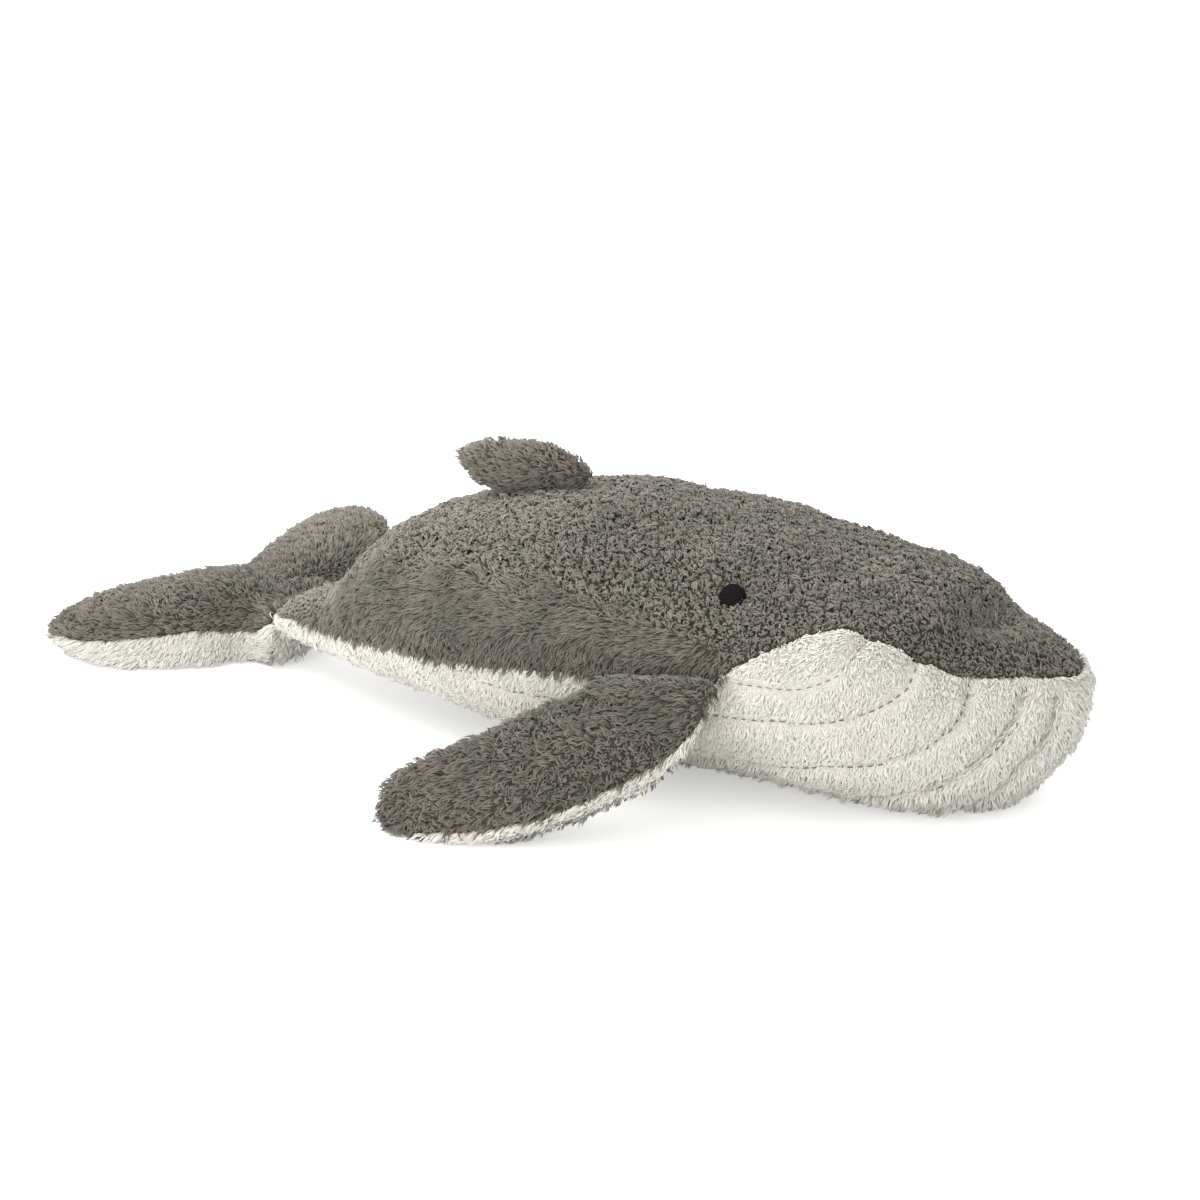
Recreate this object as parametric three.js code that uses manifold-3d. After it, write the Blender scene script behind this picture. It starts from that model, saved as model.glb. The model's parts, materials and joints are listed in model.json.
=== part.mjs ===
// Plush whale: a stuffed humpback that lies on its belly, sewn from grey and cream pile fabric.
// Millimetres. +X points to the nose, +Y to the whale's left and +Z up, and z = 0 is the floor.
// Each stuffed form is a pair of fabric panels round a filling, and hinges lie along the sewn roots.
import * as THREE from 'three';
import { mergeVertices } from 'three/addons/utils/BufferGeometryUtils.js';
import Module from 'manifold-3d';

const wasm = await Module();
wasm.setup();

// Driving dimensions: the body
const bodyLength = 471;            // tail seam to nose
const bodyHeight = 138;            // floor to the top of the back
const bodyHalfWidth = 101;
const tailTurn = THREE.MathUtils.degToRad(25);   // the tail lies bent to the whale's left
const tailRoll = THREE.MathUtils.degToRad(8.5);  // and rolled a little to its right
const tailTurnLength = 100;        // length of tail stock that takes the bend

// Driving dimensions: the fabric and its seams
const skinThickness = 5;           // backing and pressed pile
const seamGap = 0.4;               // air left between two sewn edges
const fillingGap = 0.3;            // air left between the fabric and the filling
const rootGap = 0.35;              // air left between a limb's root and the body

// Driving dimensions: the flippers
const flipperReach = 95;           // sideways, from its root
const flipperTrail = 111;          // how far its tip lies behind its root
const flipperBend = 40;            // where along the reach it starts to sweep back
const flipperRootChord = 62;
const flipperChord = 57;
const flipperThickness = 35;
const flipperSetback = 6;          // root edge to hinge line
const flipperStationShare = 0.60;  // along the body
const flipperHeightShare = 0.478;  // of the body's height

// Driving dimensions: the flukes
const flukeReach = 120;
const flukeTrail = 62;
const flukeBend = 40;
const flukeRootChord = 58;
const flukeChord = 68;
const flukeThickness = 37;
const flukeMiddle = 40;            // tail seam to the middle of the lobes' roots
const flukeSetback = 5;            // front edge to hinge line
const flukeRootOverlap = 14;       // how far each lobe runs past the middle
const flukeTabLength = 46;
const flukeTabThickness = 17;

// Driving dimensions: the dorsal fin
const finHeight = 16;
const finTrail = 52;
const finBend = 10;
const finRootChord = 60;
const finChord = 27;
const finThickness = 24;
const finSetback = 4;
const finStationShare = 0.36;
const finLean = THREE.MathUtils.degToRad(12);    // it leans to the whale's right

// Driving dimensions: the eyes
const eyeDiameter = 13;
const eyeThickness = 5;
const eyeHeightShare = 0.797;      // of the body's height
const eyeStationShare = 0.662;

// Outline of the body, as shares of its length from the tail seam, and of its height or half width
const backShares = [
  [0, 0.27], [0.08, 0.40], [0.17, 0.66], [0.28, 0.875], [0.44, 0.98],
  [0.58, 0.945], [0.70, 0.87], [0.82, 0.77], [0.93, 0.65], [1, 0.60],
];
const keelShares = [
  [0, 0.145], [0.08, 0.14], [0.17, 0.12], [0.30, 0.06], [0.42, 0.005],
  [0.50, -0.01], [0.70, -0.015], [0.85, -0.035], [1, -0.02],
];
const sideShares = [
  [0, 0.21], [0.10, 0.27], [0.25, 0.39], [0.45, 0.455], [0.65, 0.49], [0.85, 0.515], [1, 0.51],
];
const halfWidthShares = [
  [0, 0.24], [0.08, 0.34], [0.18, 0.56], [0.32, 0.82], [0.46, 0.96],
  [0.60, 1], [0.76, 0.95], [0.90, 0.77], [1, 0.64],
];
const seamShares = [
  [-0.06, 0.22], [0, 0.24], [0.10, 0.325], [0.165, 0.347], [0.25, 0.379], [0.33, 0.41], [0.405, 0.43],
  [0.54, 0.447], [0.665, 0.516], [0.695, 0.583], [0.735, 0.69], [0.767, 0.731], [0.807, 0.703],
  [0.84, 0.671], [0.888, 0.626], [0.935, 0.597], [1.06, 0.53],
];
const sectionPower = 2.3;          // 2 is an ellipse, and more is squarer
const lowerPowers = [[0, 2.2], [0.4, 1.85], [0.65, 1.75], [0.85, 2.3], [1, 2.3]];
const noseRoundShares = { back: 0.91, keel: 0.87, width: 0.70 };

// Outline of every limb, along its own middle line: full at its root and drawn in towards the tip
const limbTaperShares = [[0, 1], [0.3, 1], [0.55, 0.98], [0.8, 0.9], [1, 0.8]];
const limbThicknessShares = [[0, 1], [0.35, 1], [0.7, 0.88], [1, 0.72]];
const limbRootRiseShare = 0.32;    // where it reaches its full thickness
const limbWidenShare = 0.5;        // where it has turned fully along its middle line
const limbRoundShare = 0.62;       // where its tip begins to close

// Facets
const bodyRings = 34;
const bodyRingPoints = 32;
const innerRings = 22;
const innerRingPoints = 20;
const limbRings = 13;
const limbRingPoints = 14;
const limbInnerRings = 9;
const limbInnerRingPoints = 10;
const eyeSegments = 14;
const eyeRings = 7;
const seamPoints = 60;
const beadSides = 28;
const cutOverrun = 20;             // how far every cutter passes what it cuts
const probe = 1;                   // how far to each side a surface's direction is read
const restingSteps = 40;           // halvings in the search for the angle that rests on the floor

const greyFabric = new THREE.MeshStandardMaterial({ color: 0x7c756d, roughness: 0.95, metalness: 0 });
const creamFabric = new THREE.MeshStandardMaterial({ color: 0xe9e4d8, roughness: 0.95, metalness: 0 });
const blackThread = new THREE.MeshStandardMaterial({ color: 0x17151a, roughness: 0.8, metalness: 0 });
const filling = new THREE.MeshStandardMaterial({ color: 0xf4f1ea, roughness: 1, metalness: 0 });

// A smooth curve through [place, value] pairs
function curveThrough(pairs) {
  const places = pairs.map(([place]) => place);
  const values = pairs.map(([, value]) => value);
  const curve = new THREE.CubicInterpolant(places, values, 1);
  return (place) => curve.evaluate(place)[0];
}

// Falls from 1 to 0 along a quarter ellipse, between a starting share and the end
function roundedOff(share, start) {
  const run = Math.max(0, (share - start) / (1 - start));
  return Math.sqrt(Math.max(0, 1 - run * run));
}

function signedPower(value, power) {
  return Math.sign(value) * Math.abs(value) ** power;
}

// Turns a closed geometry inside out, in place
function reverseFaces(geometry) {
  const corners = geometry.index.array;
  for (let face = 0; face < corners.length; face += 3) {
    [corners[face + 1], corners[face + 2]] = [corners[face + 2], corners[face + 1]];
  }
  return geometry;
}

// Skins a row of rings into one closed body, with a fan over each end
function loft(rings) {
  const count = rings[0].length;
  const points = rings.flat();
  const corners = [];
  for (let ring = 0; ring + 1 < rings.length; ring += 1) {
    for (let point = 0; point < count; point += 1) {
      const next = (point + 1) % count;
      const [a, b] = [ring * count + point, ring * count + next];
      const [c, d] = [a + count, b + count];
      corners.push(a, b, c, b, d, c);
    }
  }
  for (const [start, first, second] of [[0, 1, 0], [(rings.length - 1) * count, 0, 1]]) {
    const hub = points.length;
    const ring = points.slice(start, start + count);
    points.push(ring.reduce((sum, point) => sum.add(point), new THREE.Vector3()).divideScalar(count));
    for (let point = 0; point < count; point += 1) {
      corners.push(hub, start + (point + first) % count, start + (point + second) % count);
    }
  }
  const geometry = new THREE.BufferGeometry().setFromPoints(points);
  geometry.setIndex(corners);
  return geometry;
}

function toSolid(geometry) {
  const bare = geometry.clone();
  bare.deleteAttribute('normal');
  bare.deleteAttribute('uv');
  const merged = mergeVertices(bare);
  return new wasm.Manifold(new wasm.Mesh({
    numProp: 3,
    vertProperties: merged.attributes.position.array,
    triVerts: Uint32Array.from(merged.index.array),
  }));
}

function toGeometry(solid) {
  const mesh = solid.getMesh();
  const geometry = new THREE.BufferGeometry();
  geometry.setAttribute('position', new THREE.BufferAttribute(mesh.vertProperties, 3));
  geometry.setIndex(new THREE.BufferAttribute(mesh.triVerts, 1));
  return geometry;
}

// A block for cutting, between two corners
function block(low, high) {
  const size = high.clone().sub(low);
  const middle = low.clone().add(high).multiplyScalar(0.5);
  const box = new THREE.BoxGeometry(size.x, size.y, size.z);
  return toSolid(box.translate(middle.x, middle.y, middle.z));
}

const backAt = curveThrough(backShares);
const keelAt = curveThrough(keelShares);
const sideAt = curveThrough(sideShares);
const halfWidthAt = curveThrough(halfWidthShares);
const lowerPowerAt = curveThrough(lowerPowers);
const limbTaperAt = curveThrough(limbTaperShares);
const limbThicknessAt = curveThrough(limbThicknessShares);

// The body's middle line in plan, the direction across it and its roll: straight, then an arc to the left
function spine(distance) {
  const radius = tailTurnLength / tailTurn;
  const angle = Math.max(0, tailTurnLength - distance) / radius;
  if (angle === 0) {
    return { point: new THREE.Vector3(distance, 0, 0), across: new THREE.Vector3(0, 1, 0), roll: 0 };
  }
  return {
    point: new THREE.Vector3(tailTurnLength - radius * Math.sin(angle), radius * (1 - Math.cos(angle)), 0),
    across: new THREE.Vector3(Math.sin(angle), Math.cos(angle), 0),
    roll: tailRoll * (angle / tailTurn),
  };
}

// Half width and heights of the body's section at a share of its length, drawn in by an inset
function section(share, inset) {
  const side = sideAt(share) * bodyHeight;
  const rise = (backAt(share) * bodyHeight - side - inset) * roundedOff(share, noseRoundShares.back);
  const drop = (side - keelAt(share) * bodyHeight - inset) * roundedOff(share, noseRoundShares.keel);
  const halfWidth = (halfWidthAt(share) * bodyHalfWidth - inset) * roundedOff(share, noseRoundShares.width);
  return { side, rise, drop, halfWidth };
}

function bodyPoint(share, angle, inset) {
  const { side, rise, drop, halfWidth } = section(share, inset);
  const { point, across, roll } = spine(inset + share * (bodyLength - 2 * inset));
  const power = Math.sin(angle) > 0 ? sectionPower : lowerPowerAt(share);
  const up = signedPower(Math.sin(angle), 2 / power);
  const out = signedPower(Math.cos(angle), 2 / power) * halfWidth;
  const lift = up * (up > 0 ? rise : drop);
  point.addScaledVector(across, out * Math.cos(roll) - lift * Math.sin(roll));
  return point.setZ(side + out * Math.sin(roll) + lift * Math.cos(roll));
}

// The body as one solid, drawn in by an inset and flat where it rests
function bodySolid(inset, rings, ringPoints) {
  const shares = Array.from({ length: rings }, (_, ring) => Math.sin((ring / rings) * (Math.PI / 2)));
  const angles = Array.from({ length: ringPoints }, (_, point) => (point / ringPoints) * 2 * Math.PI);
  const whole = toSolid(loft(shares.map((share) => angles.map((angle) => bodyPoint(share, angle, inset)))));
  const reach = bodyLength + cutOverrun;
  const below = block(new THREE.Vector3(-reach, -reach, -reach), new THREE.Vector3(reach, reach, inset));
  return whole.subtract(below);
}

// A point on the body's left side at a height, with the way out of the surface and the way forward
function onSide(share, height) {
  const at = (place, level) => {
    const { side, rise, drop, halfWidth } = section(place, 0);
    const lift = Math.abs(level - side) / (level > side ? rise : drop);
    const power = level > side ? sectionPower : lowerPowerAt(place);
    const out = halfWidth * (1 - lift ** power) ** (1 / power);
    const { point, across } = spine(place * bodyLength);
    return point.addScaledVector(across, out).setZ(level);
  };
  const step = probe / bodyLength;
  const forward = at(share + step, height).sub(at(share - step, height)).normalize();
  const upward = at(share, height + probe).sub(at(share, height - probe)).normalize();
  return { point: at(share, height), forward, outward: forward.clone().cross(upward).negate().normalize() };
}

// Everything below the side seam, as a solid to cut with, moved up or down by an offset
function belowSeam(offset) {
  const line = new THREE.SplineCurve(
    seamShares.map(([place, height]) => new THREE.Vector2(place * bodyLength, height * bodyHeight + offset)),
  ).getPoints(seamPoints);
  const outline = new THREE.Shape(line);
  outline.lineTo(line.at(-1).x, -cutOverrun);
  outline.lineTo(line[0].x, -cutOverrun);
  const depth = 2 * (bodyHalfWidth + tailTurnLength);
  const prism = new THREE.ExtrudeGeometry(outline, { depth, bevelEnabled: false });
  return toSolid(prism.rotateX(Math.PI / 2).translate(0, depth / 2, 0));
}

// The left half space of the bent body, as a solid to cut with, moved sideways by an offset
function leftOfSpine(offset) {
  const steps = Array.from({ length: innerRings + 1 }, (_, step) => step / innerRings);
  const line = steps.map((share) => {
    const { point, across } = spine(share * (bodyLength + 2 * cutOverrun) - cutOverrun);
    point.addScaledVector(across, offset);
    return new THREE.Vector2(point.x, point.y);
  });
  const outline = new THREE.Shape(line);
  outline.lineTo(line.at(-1).x, bodyHalfWidth + tailTurnLength);
  outline.lineTo(line[0].x - tailTurnLength, bodyHalfWidth + tailTurnLength);
  return toSolid(new THREE.ExtrudeGeometry(outline, { depth: bodyHeight + cutOverrun, bevelEnabled: false }));
}

// A stuffed limb along a plan curve: rounded at its tip and drawn in to a thin edge at its root
function limbSolid(sizes, inset, rings, ringPoints) {
  const { reach, trail, bend, rootChord, chord, thickness, start = 0 } = sizes;
  const line = new THREE.QuadraticBezierCurve(
    new THREE.Vector2(start, 0), new THREE.Vector2(start, bend), new THREE.Vector2(start - trail, reach),
  );
  const insetShare = inset / line.getLength();
  const ringAt = (share) => {
    const along = insetShare + share * (1 - 2 * insetShare);
    const centre = line.getPointAt(along);
    const widening = THREE.MathUtils.smoothstep(share, 0, limbWidenShare);
    const sweep = widening * line.getTangentAt(along).angle() + (1 - widening) * (Math.PI / 2);
    const root = Math.sqrt(1 - (1 - Math.min(1, share / limbRootRiseShare)) ** 2);
    const tip = roundedOff(share, limbRoundShare);
    const width = THREE.MathUtils.lerp(rootChord, chord, widening);
    const halfChord = (limbTaperAt(share) * width / 2 - inset) * tip;
    const halfThickness = (limbThicknessAt(share) * thickness / 2 - inset) * root * tip;
    return Array.from({ length: ringPoints }, (_, point) => {
      const angle = (point / ringPoints) * 2 * Math.PI;
      const out = signedPower(Math.cos(angle), 2 / sectionPower) * halfChord;
      const up = signedPower(Math.sin(angle), 2 / sectionPower) * halfThickness;
      return new THREE.Vector3(centre.x + Math.sin(sweep) * out, centre.y - Math.cos(sweep) * out, up);
    });
  };
  const shares = Array.from({ length: rings }, (_, ring) => (1 - Math.cos(((ring + 0.5) / rings) * Math.PI)) / 2);
  return toSolid(reverseFaces(loft(shares.map(ringAt))));
}

// Splits a stuffed form level with its own plane into an upper and a lower panel
function splitPanels(outer, inner, reach) {
  const skin = outer.subtract(inner);
  const upper = block(
    new THREE.Vector3(-reach, -reach, seamGap / 2), new THREE.Vector3(reach, reach, reach),
  );
  const lower = block(
    new THREE.Vector3(-reach, -reach, -reach), new THREE.Vector3(reach, reach, -seamGap / 2),
  );
  return { top: skin.intersect(upper), under: skin.intersect(lower) };
}

// Mirrors a geometry across the whale's middle plane
function mirrored(geometry) {
  return reverseFaces(geometry.clone().scale(1, -1, 1));
}

function piece(name, geometry, material) {
  const mesh = new THREE.Mesh(geometry, material);
  mesh.name = name;
  geometry.computeVertexNormals();
  return mesh;
}

// Three solids of a limb: both panels and the filling between them
function stuffedLimb(sizes) {
  const reach = sizes.reach + sizes.trail + sizes.chord + cutOverrun;
  const outer = limbSolid(sizes, 0, limbRings, limbRingPoints);
  const inner = limbSolid(sizes, skinThickness, limbInnerRings, limbInnerRingPoints);
  const core = limbSolid(sizes, skinThickness + fillingGap, limbInnerRings, limbInnerRingPoints);
  return { ...splitPanels(outer, inner, reach), core, outer };
}

// The angle that lets a limb, hung at a hinge height, come down to the floor; poseAt(angle) turns it
function restingAngle(outer, hingeHeight, poseAt) {
  const positions = toGeometry(outer).attributes.position;
  const lowest = (angle) => {
    const pose = poseAt(angle);
    let low = Infinity;
    for (let index = 0; index < positions.count; index += 1) {
      low = Math.min(low, new THREE.Vector3().fromBufferAttribute(positions, index).applyMatrix4(pose).z);
    }
    return low;
  };
  let [raised, sunk] = [Math.PI / 4, -Math.PI / 2];
  for (let step = 0; step < restingSteps; step += 1) {
    const middle = (raised + sunk) / 2;
    [raised, sunk] = lowest(middle) + hingeHeight > 0 ? [middle, sunk] : [raised, middle];
  }
  return raised;
}

// The body: two back panels, a belly panel and the filling
function makeBody() {
  const outer = bodySolid(0, bodyRings, bodyRingPoints);
  const inner = bodySolid(skinThickness, innerRings, innerRingPoints);
  const core = bodySolid(skinThickness + fillingGap, innerRings, innerRingPoints);
  const skin = outer.subtract(inner);
  const back = skin.subtract(belowSeam(seamGap / 2));
  const left = back.intersect(leftOfSpine(seamGap / 2));
  const right = back.subtract(leftOfSpine(-seamGap / 2));
  const belly = skin.intersect(belowSeam(-seamGap / 2));
  const group = new THREE.Group();
  const eyes = makeEyes();
  group.add(
    piece('back_left', toGeometry(left.subtract(eyes.socket)), greyFabric),
    piece('back_right', toGeometry(right.subtract(toSolid(mirrored(toGeometry(eyes.socket))))), greyFabric),
    piece('belly_panel', toGeometry(belly), creamFabric),
    piece('body_filling', toGeometry(core), filling),
    piece('eye_left', eyes.geometry, blackThread),
    piece('eye_right', mirrored(eyes.geometry), blackThread),
  );
  return group;
}

// An eye of black thread, and the socket that it sits in
function makeEyes() {
  const { point, outward } = onSide(eyeStationShare, eyeHeightShare * bodyHeight);
  const turn = new THREE.Quaternion().setFromUnitVectors(new THREE.Vector3(0, 1, 0), outward);
  const lens = (clearance) => {
    const radius = eyeDiameter / 2 + clearance;
    const shape = new THREE.SphereGeometry(radius, eyeSegments, eyeRings);
    shape.scale(1, (eyeThickness / 2 + clearance) / radius, 1);
    return shape.applyQuaternion(turn).translate(point.x, point.y, point.z);
  };
  return { geometry: toGeometry(toSolid(lens(0))), socket: toSolid(lens(seamGap)) };
}

// A flipper on each side, sewn into the side seam and lying down to the floor
function makeFlippers() {
  const sizes = {
    reach: flipperReach, trail: flipperTrail, bend: flipperBend,
    rootChord: flipperRootChord, chord: flipperChord, thickness: flipperThickness,
  };
  const solids = stuffedLimb(sizes);
  const { point, forward } = onSide(flipperStationShare, flipperHeightShare * bodyHeight);
  const heading = Math.atan2(forward.y, forward.x);
  const hinge = point.clone().add(
    new THREE.Vector3(-Math.sin(heading), Math.cos(heading), 0).multiplyScalar(rootGap + flipperSetback),
  );
  const centred = (solid) => toGeometry(solid).translate(0, -flipperSetback, 0);
  const poseAt = (angle) => new THREE.Matrix4().makeRotationX(angle);
  const droop = restingAngle(toSolid(centred(solids.outer)), point.z, poseAt);
  return ['left', 'right'].map((side) => {
    const mirror = side === 'left' ? (geometry) => geometry : mirrored;
    const hand = side === 'left' ? 1 : -1;
    const group = new THREE.Group();
    group.add(
      piece(`flipper_${side}_top`, mirror(centred(solids.top)), greyFabric),
      piece(`flipper_${side}_underside`, mirror(centred(solids.under)), creamFabric),
      piece(`flipper_${side}_filling`, mirror(centred(solids.core)), filling),
    );
    group.rotation.set(hand * droop, 0, hand * heading, 'ZXY');
    group.position.set(hinge.x, hand * hinge.y, hinge.z);
    return group;
  });
}

// The tail flukes: two stuffed lobes joined at a flat tab, which is sewn to the tail's end
function makeFlukes() {
  const sizes = {
    reach: flukeReach, trail: flukeTrail, bend: flukeBend, start: flukeSetback - flukeMiddle,
    rootChord: flukeRootChord, chord: flukeChord, thickness: flukeThickness,
  };
  const reach = flukeReach + flukeMiddle + flukeTrail + cutOverrun;
  const pair = (inset, rings, ringPoints) => {
    const lobe = limbSolid(sizes, inset, rings, ringPoints).translate([0, -flukeRootOverlap, 0]);
    return lobe.add(toSolid(mirrored(toGeometry(lobe))));
  };
  const tabWidth = 2 * section(0, 0).halfWidth;
  const tabReach = flukeTabLength / 2;
  const tab = new THREE.CylinderGeometry(tabReach, tabReach, tabWidth, limbRingPoints);
  tab.scale(1, 1, flukeTabThickness / flukeTabLength);
  tab.translate(flukeSetback - tabReach, 0, 0);
  const bead = new THREE.CylinderGeometry(flukeSetback, flukeSetback, tabWidth, beadSides);
  const outer = pair(0, limbRings, limbRingPoints).add(toSolid(tab)).add(toSolid(bead));
  const inner = pair(skinThickness, limbInnerRings, limbInnerRingPoints);
  const core = pair(skinThickness + fillingGap, limbInnerRings, limbInnerRingPoints);
  const { top, under } = splitPanels(outer, inner, reach);
  const { point, across, roll } = spine(0);
  const heading = Math.atan2(-across.x, across.y);
  const hinge = point.setZ(section(0, 0).side).add(
    new THREE.Vector3(-across.y, across.x, 0).multiplyScalar(rootGap + flukeSetback),
  );
  const rolled = new THREE.Matrix4().makeRotationX(roll);
  const poseAt = (angle) => rolled.clone().multiply(new THREE.Matrix4().makeRotationY(angle));
  const droop = restingAngle(outer, hinge.z, poseAt);
  const group = new THREE.Group();
  group.add(
    piece('fluke_top', toGeometry(top), greyFabric),
    piece('fluke_underside', toGeometry(under), creamFabric),
    piece('fluke_filling', toGeometry(core), filling),
  );
  group.rotation.set(roll, droop, heading, 'ZXY');
  group.position.copy(hinge);
  return group;
}

// The dorsal fin: two panels round a filling, sewn into the seam along the back
function makeFin() {
  const sizes = {
    reach: finHeight, trail: finTrail, bend: finBend,
    rootChord: finRootChord, chord: finChord, thickness: finThickness,
  };
  const solids = stuffedLimb(sizes);
  const step = probe / bodyLength;
  const behind = bodyPoint(finStationShare - step, Math.PI / 2, 0);
  const ahead = bodyPoint(finStationShare + step, Math.PI / 2, 0);
  const slope = ahead.clone().sub(behind).normalize();
  const { across } = spine(finStationShare * bodyLength);
  const upright = slope.clone().cross(across).normalize();
  const hinge = bodyPoint(finStationShare, Math.PI / 2, 0).addScaledVector(upright, rootGap + finSetback);
  const group = new THREE.Group();
  const standing = (solid) => toGeometry(solid).translate(0, -finSetback, 0).rotateX(Math.PI / 2 + finLean);
  group.add(
    piece('fin_right_panel', standing(solids.top), greyFabric),
    piece('fin_left_panel', standing(solids.under), greyFabric),
    piece('fin_filling', standing(solids.core), filling),
  );
  group.quaternion.setFromRotationMatrix(new THREE.Matrix4().makeBasis(slope, across, upright));
  group.position.copy(hinge);
  return group;
}

const whale = new THREE.Group();
whale.add(makeBody(), ...makeFlippers(), makeFlukes(), makeFin());

// The origin is the middle of the whale's own box, on the floor
const box = new THREE.Box3().setFromObject(whale, true);
const middle = box.getCenter(new THREE.Vector3());
whale.position.set(-middle.x, -middle.y, 0);
whale.updateMatrixWorld(true);

export default whale;
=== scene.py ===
# %% [markdown]
# This lesson dresses a plush whale: a stuffed toy of long grey pile with a cream belly.
# The solids of the model give its size and its joints. Every piece made here lies where its solid lies,
# and the pieces on the body ride on the body.

# %% Load the solids
import json
import math

import bmesh
import bpy
import numpy as np
from mathutils import Matrix, Vector
from mathutils.bvhtree import BVHTree
from mathutils.kdtree import KDTree


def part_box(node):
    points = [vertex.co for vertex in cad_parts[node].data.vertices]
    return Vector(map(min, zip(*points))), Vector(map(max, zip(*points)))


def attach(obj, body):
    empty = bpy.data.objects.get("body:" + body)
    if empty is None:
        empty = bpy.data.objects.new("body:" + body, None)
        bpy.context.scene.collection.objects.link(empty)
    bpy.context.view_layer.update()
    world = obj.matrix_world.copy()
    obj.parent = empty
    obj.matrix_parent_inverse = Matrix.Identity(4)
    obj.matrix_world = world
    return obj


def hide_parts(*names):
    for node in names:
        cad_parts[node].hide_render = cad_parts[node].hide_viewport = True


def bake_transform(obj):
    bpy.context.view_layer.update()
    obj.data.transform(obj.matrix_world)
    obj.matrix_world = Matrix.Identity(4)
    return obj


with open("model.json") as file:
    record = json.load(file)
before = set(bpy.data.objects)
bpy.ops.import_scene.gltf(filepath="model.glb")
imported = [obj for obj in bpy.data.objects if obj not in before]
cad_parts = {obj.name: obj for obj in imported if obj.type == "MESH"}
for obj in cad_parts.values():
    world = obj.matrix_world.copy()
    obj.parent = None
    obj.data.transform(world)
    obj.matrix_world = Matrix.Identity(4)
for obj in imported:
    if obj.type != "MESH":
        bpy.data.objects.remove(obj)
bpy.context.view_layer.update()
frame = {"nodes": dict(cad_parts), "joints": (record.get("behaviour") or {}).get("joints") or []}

nodes = frame["nodes"]
MM = 0.001

# %% [markdown]
# The camera stands where the photographer stood: 28 degrees round from the whale's side towards its nose,
# and 18 degrees above the floor. Its three directions are worked out from these two angles.

# %% Camera
round_angle = math.radians(28)
above_angle = math.radians(18)
camera_right = Vector((math.cos(round_angle), math.sin(round_angle), 0))
camera_back = Vector((math.sin(round_angle) * math.cos(above_angle),
                      -math.cos(round_angle) * math.cos(above_angle), math.sin(above_angle)))
camera_up = camera_back.cross(camera_right)
camera_data = bpy.data.cameras.new("photo_camera")
camera_data.lens = 114
camera_data.sensor_width = 36
camera = bpy.data.objects.new("photo_camera", camera_data)
camera.matrix_world = (Matrix.Translation((0.92, -1.672, 0.6868))
                       @ Matrix((camera_right, camera_up, camera_back)).transposed().to_4x4())
bpy.context.scene.collection.objects.link(camera)
bpy.context.scene.camera = camera
print("camera looks along", [round(-v, 3) for v in camera_back])

# %% [markdown]
# Soft light comes from the whole sky and from two wide lamps, as in a studio: one overhead on the tail's
# side, and a weaker one in front that opens the shade under the whale.
# The sky is plain white only where the camera or a reflection sees it. What lights the whale is greyer,
# so that a colour comes out about as it is written.

# %% Light
bpy.context.scene.view_settings.view_transform = "Standard"


def joined(tree, kind, *inputs, **settings):
    """A new shader node of that kind, with its settings made and its first inputs joined or set."""
    node = tree.nodes.new(kind)
    for name, value in settings.items():
        setattr(node, name, value)
    for socket, value in zip(node.inputs, inputs):
        if isinstance(value, bpy.types.NodeSocket):
            tree.links.new(value, socket)
        elif value is not None:
            socket.default_value = value
    return node


def worked_out(tree, operation, *inputs, **settings):
    """The result of a new Math node."""
    return joined(tree, "ShaderNodeMath", *inputs, operation=operation, **settings).outputs[0]


def seen_directly(tree):
    """1 for what the camera, a reflection or glass sees, and 0 for light that falls on the object."""
    path = joined(tree, "ShaderNodeLightPath")
    either = worked_out(tree, "ADD", path.outputs["Is Camera Ray"], path.outputs["Is Glossy Ray"])
    return worked_out(tree, "ADD", either, path.outputs["Is Transmission Ray"], use_clamp=True)


world = bpy.data.worlds.new("studio")
world.use_nodes = True
sky = world.node_tree
sky.nodes.clear()
sky_light = joined(sky, "ShaderNodeBackground", (0.97, 0.99, 1.0, 1), 0.93)
sky_seen = joined(sky, "ShaderNodeBackground", (1, 1, 1, 1), 1.0)
sky_mix = joined(sky, "ShaderNodeMixShader", seen_directly(sky), sky_light.outputs[0], sky_seen.outputs[0])
joined(sky, "ShaderNodeOutputWorld", sky_mix.outputs[0])
bpy.context.scene.world = world


def soft_lamp(name, place, aim, width, height, watts):
    """A wide lamp at that place that points at that spot."""
    data = bpy.data.lights.new(name, "AREA")
    data.shape = "RECTANGLE"
    data.size = width
    data.size_y = height
    data.energy = watts
    lamp = bpy.data.objects.new(name, data)
    lamp.location = place
    lamp.rotation_euler = (Vector(aim) - Vector(place)).to_track_quat("-Z", "Y").to_euler()
    bpy.context.scene.collection.objects.link(lamp)
    return lamp


ceiling_lamp = soft_lamp("ceiling_lamp", (-0.9, 0.05, 1.25), (0, 0, 0), 1.4, 1.0, 16)
front_lamp = soft_lamp("front_lamp", (0.0, -1.9, 0.5), (0.08, 0, 0.04), 1.6, 0.8, 11)
print("lamps:", ceiling_lamp.data.energy, "W above and", front_lamp.data.energy, "W in front")

# %% [markdown]
# The floor is one large sheet. It takes the whale's shadow as any matt floor does.
# Away from the whale it glows a little for the camera alone, so that it runs into the white behind.

# %% Floor
floor_shape = bmesh.new()
bmesh.ops.create_grid(floor_shape, x_segments=1, y_segments=1, size=8)
floor_mesh = bpy.data.meshes.new("floor")
floor_shape.to_mesh(floor_mesh)
floor_shape.free()
floor = bpy.data.objects.new("floor", floor_mesh)
bpy.context.scene.collection.objects.link(floor)

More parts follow.
